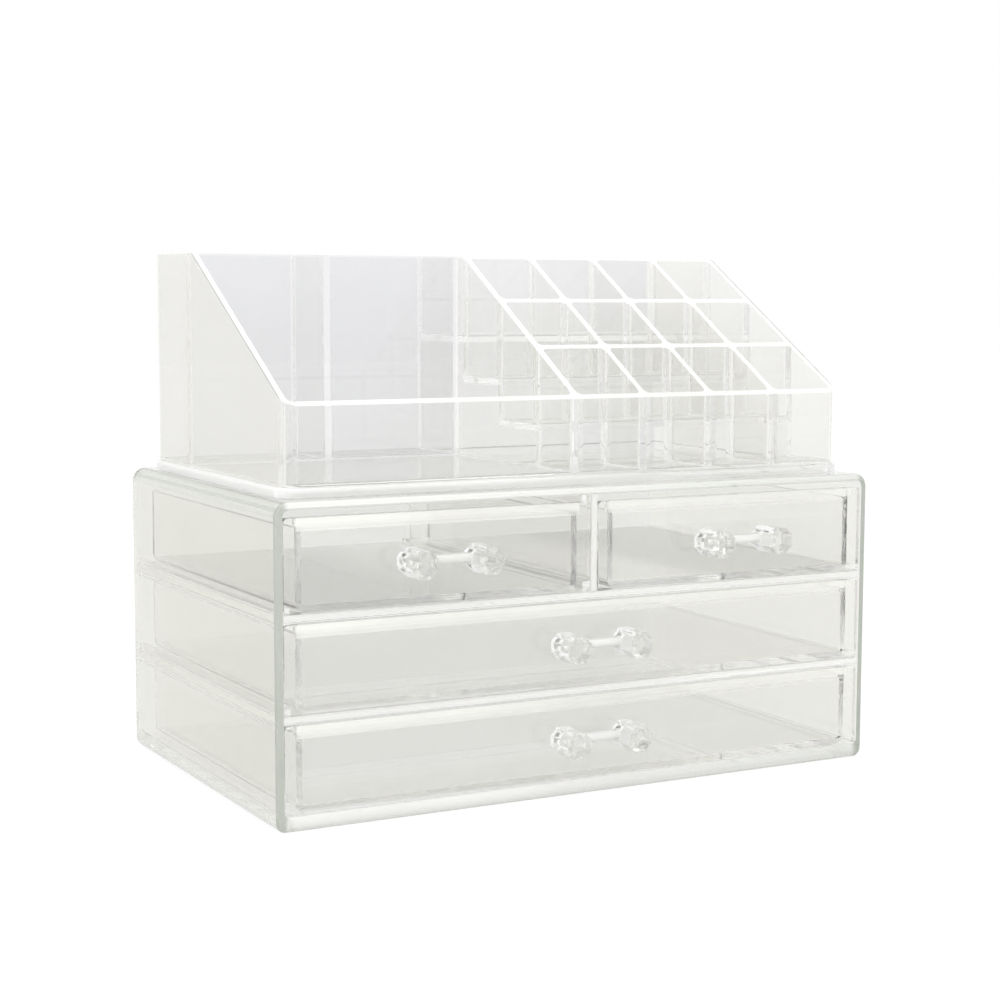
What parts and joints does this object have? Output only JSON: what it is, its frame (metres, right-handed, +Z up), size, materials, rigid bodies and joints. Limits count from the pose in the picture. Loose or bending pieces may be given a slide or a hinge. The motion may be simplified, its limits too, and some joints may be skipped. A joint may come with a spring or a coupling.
{
  "type": "makeup organizer",
  "caption": "Clear plastic makeup organizer: a cabinet with sliding drawers and a lift-off tray with stepped lipstick slots and brush wells.",
  "frame": {"origin": "on the table, in the middle of the box that holds the whole organizer with its handles", "axes": "+X to the right along the width, +Y to the back, +Z up"},
  "size_m": [0.24, 0.16, 0.1901],
  "materials": {
    "clear_case": "gloss",
    "clear_drawer": "gloss",
    "clear_handle": "gloss",
    "clear_tray": "gloss"
  },
  "bodies": {
    "cabinet": {"cabinet_case": "clear_case", "upper_shelf": "clear_case", "lower_shelf": "clear_case", "drawer_divider": "clear_case"},
    "small_drawer_left_body": {"small_drawer_left": "clear_drawer", "handle_small_left": "clear_handle"},
    "small_drawer_right_body": {"small_drawer_right": "clear_drawer", "handle_small_right": "clear_handle"},
    "middle_drawer_body": {"middle_drawer": "clear_drawer", "handle_middle": "clear_handle"},
    "bottom_drawer_body": {"bottom_drawer": "clear_drawer", "handle_bottom": "clear_handle"},
    "tray": {"compartment_tray": "clear_tray"}
  },
  "joints": [
    {"name": "small_drawer_left_slide", "type": "slide", "parent": "cabinet", "child": "small_drawer_left_body", "axis": [0, -1, 0], "range_m": [0, 0.105]},
    {"name": "small_drawer_right_slide", "type": "slide", "parent": "cabinet", "child": "small_drawer_right_body", "axis": [0, -1, 0], "range_m": [0, 0.105]},
    {"name": "middle_drawer_slide", "type": "slide", "parent": "cabinet", "child": "middle_drawer_body", "axis": [0, -1, 0], "range_m": [0, 0.105]},
    {"name": "bottom_drawer_slide", "type": "slide", "parent": "cabinet", "child": "bottom_drawer_body", "axis": [0, -1, 0], "range_m": [0, 0.105]},
    {"name": "tray_lift", "type": "slide", "parent": "cabinet", "child": "tray", "axis": [0, 0, 1], "range_m": [0, 0.09]}
  ]
}
